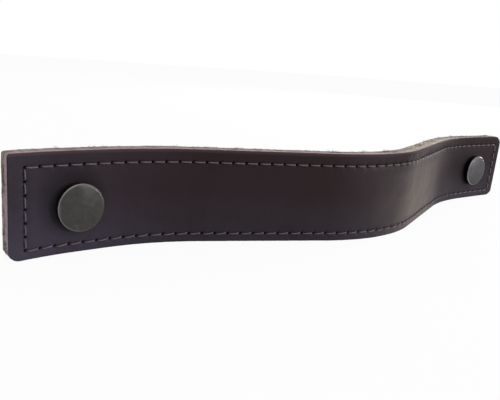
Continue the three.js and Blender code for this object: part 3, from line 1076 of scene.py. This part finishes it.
def add_button(side, x):
    face = WALL_Y - THICKNESS
    rows = [(0, CAP_TOP, 0)]
    for share in DOME_SHARES:
        rows.append((share * CAP_RADIUS, CAP_TOP + CAP_DOME * share**2, 0))
    rim_radius = CAP_RADIUS - CAP_RIM
    rim_y = CAP_TOP + CAP_DOME + CAP_RIM
    for degrees, wear in CAP_RIM_GLINT.items():
        angle = math.radians(degrees)
        rows.append((rim_radius + CAP_RIM * math.sin(angle), rim_y - CAP_RIM * math.cos(angle), wear))
    rows += [
        (CAP_RADIUS, face - CAP_CHAMFER_HEIGHT, 0),
        (CAP_RADIUS - CAP_CHAMFER_WIDTH, face, 0),
        (BARREL_RADIUS, face, 0),
        (BARREL_RADIUS, WALL_Y - BARREL_CHAMFER, 0),
        (BARREL_RADIUS - BARREL_CHAMFER, WALL_Y, BARREL_WEAR),
        (BORE_RADIUS + BORE_CHAMFER, WALL_Y, BARREL_WEAR),
        (BORE_RADIUS, WALL_Y - BORE_CHAMFER, MOUTH_WEAR),
        (BORE_RADIUS, WALL_Y - BORE_DEPTH, 0),
        (0, WALL_Y - BORE_DEPTH, 0),
    ]
    piece = turned(f"{side}_turned_button", rows, x, BUTTON_SEGMENTS, [GUNMETAL])
    seat(piece, "button_metal", f"{side}_button")


# Machine screws

SCREW_RADIUS = 2 * MM
SCREW_POINT = 0.6 * MM
SCREW_PITCH = 0.7 * MM
SCREW_CUT = 0.42 * MM
SCREW_SEGMENTS = 48
STEPS_PER_PITCH = 8
VALLEY_FLOOR = 0.1
HEAD_HEIGHT = 2.6 * MM
HEAD_ROUND = 1 * MM
HEAD_CHAMFER = 0.1 * MM
HEAD_STEPS = 8
RECESS_DEPTH = 1.6 * MM
RECESS_REACH = 2 * MM
RECESS_HALF_WIDTH = 0.5 * MM
RECESS_TAPER = 0.6
SHARP_ANGLE = math.radians(50)
LEAST_RADIUS = 1e-6


def cut_thread(piece, x, stop):
    """Presses a right-hand thread into a turned shank, up to a depth."""
    points = np.empty(len(piece.data.vertices) * 3, np.float32)
    piece.data.vertices.foreach_get("co", points)
    points = points.reshape(-1, 3)
    on_shank = points[:, 1] < stop
    shank = points[on_shank]
    spoke = shank[:, [0, 2]] - np.array([x, HOLE_Z])
    radius = np.maximum(np.linalg.norm(spoke, axis=1), LEAST_RADIUS)
    turn = np.arctan2(spoke[:, 1], spoke[:, 0]) / FULL_TURN
    off_middle = np.abs((shank[:, 1] / SCREW_PITCH + turn) % 1 - 0.5)
    valley = np.clip((0.5 - off_middle) / (0.5 - VALLEY_FLOOR), 0, 1)
    fade = np.clip((stop - shank[:, 1]) / SCREW_PITCH, 0, 1)
    limit = SCREW_RADIUS - SCREW_CUT * valley * fade
    spoke *= np.minimum(1, limit / radius)[:, None]
    shank[:, [0, 2]] = spoke + np.array([x, HOLE_Z])
    points[on_shank] = shank
    piece.data.vertices.foreach_set("co", points.ravel())
    piece.data.update()


def cross_bit(x, top):
    """A tapered cross, wider at the top of the head."""
    arm, half = RECESS_REACH, RECESS_HALF_WIDTH
    quarter = [(arm, -half), (arm, half), (half, half)]
    outline = []
    for _ in range(4):
        outline += quarter
        quarter = [(-v, u) for u, v in quarter]
    narrow = np.clip(outline, -arm * RECESS_TAPER, arm * RECESS_TAPER)
    levels = [(top - RECESS_DEPTH, narrow), (top, outline), (top + RECESS_DEPTH, outline)]
    points = [(x + u, y, HOLE_Z + v) for y, plan in levels for u, v in plan]
    return add_mesh("bit", points, tube_faces(0, len(levels), len(outline)), [ZINC])


def add_screw(side, x):
    low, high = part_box(f"{side}_screw")
    head_radius = (high.x - low.x) / 2
    seat_y = high.y - HEAD_HEIGHT
    start = low.y + SCREW_POINT
    steps = round((seat_y - start) / SCREW_PITCH * STEPS_PER_PITCH)
    rows = [(0, low.y, 0), (SCREW_RADIUS - SCREW_POINT, low.y, 0)]
    rows += [(SCREW_RADIUS, y, 0) for y in np.linspace(start, seat_y, steps)]
    rows += [(head_radius - HEAD_CHAMFER, seat_y, 0), (head_radius, seat_y + HEAD_CHAMFER, 0)]
    for angle in np.linspace(0, math.pi / 2, HEAD_STEPS):
        radius = head_radius - HEAD_ROUND * (1 - math.cos(angle))
        rows.append((radius, high.y - HEAD_ROUND * (1 - math.sin(angle)), 0))
    rows.append((0, high.y, 0))
    piece = turned(f"{side}_machine_screw", rows, x, SCREW_SEGMENTS, [ZINC])
    cut_thread(piece, x, seat_y - SCREW_PITCH)
    cut_away(piece, cross_bit(x, high.y))
    piece.data.set_sharp_from_angle(angle=SHARP_ANGLE)
    seat(piece, "screw_steel", f"{side}_screw")


# Floor

def floor_paint():
    material = bpy.data.materials.new("floor_paint")
    material.use_nodes = True
    nodes, links = material.node_tree.nodes, material.node_tree.links
    nodes.clear()
    output = nodes.new("ShaderNodeOutputMaterial")
    paint = nodes.new("ShaderNodeBsdfDiffuse")
    paint.inputs["Color"].default_value = FLOOR_COLOR
    glow = nodes.new("ShaderNodeEmission")
    glow.inputs["Color"].default_value = WHITE
    share = nodes.new("ShaderNodeMath")
    share.operation = "MULTIPLY"
    share.inputs[1].default_value = FLOOR_GLOW
    mix = nodes.new("ShaderNodeMixShader")
    links.new(seen_rays(nodes, links), share.inputs[0])
    links.new(share.outputs[0], mix.inputs[0])
    links.new(paint.outputs[0], mix.inputs[1])
    links.new(glow.outputs[0], mix.inputs[2])
    links.new(mix.outputs[0], output.inputs["Surface"])
    return material


def add_floor():
    reach = FLOOR_REACH
    corners = [(-reach, -reach, 0), (reach, -reach, 0), (reach, reach, 0), (-reach, reach, 0)]
    floor = add_mesh("floor", corners, [(0, 1, 2, 3)], [floor_paint()])


# The scene

bpy.context.scene.view_settings.view_transform = "Standard"
add_camera()
add_world()
for lamp in LAMPS:
    add_lamp(*lamp)
add_floor()

LEATHER = [grain_leather(), cut_edge(), flesh_side()]
FIBRE = raw_fibre()
THREAD_FIBRE = thread_fibre()
GUNMETAL = gunmetal()
ZINC = zinc_plate()

front_section = (0, FRONT_PLY, EDGE_ROUND, SEAM_ROUND)
back_section = (FRONT_PLY + GLUE_LINE, THICKNESS, SEAM_ROUND, EDGE_ROUND)
for face, section in (("front", front_section), ("back", back_section)):
    ply = add_ply(f"{face}_strap", f"{face}_leather", *section, LEATHER)
    drill(ply, -HOLE_X)
    drill(ply, HOLE_X)
add_fibres()
add_stitches("front_stitches", "needle_thread", True)
add_stitches("back_stitches", "bobbin_thread", False)
for side, sign in (("left", -1), ("right", 1)):
    add_button(side, sign * HOLE_X)
    add_screw(side, sign * HOLE_X)
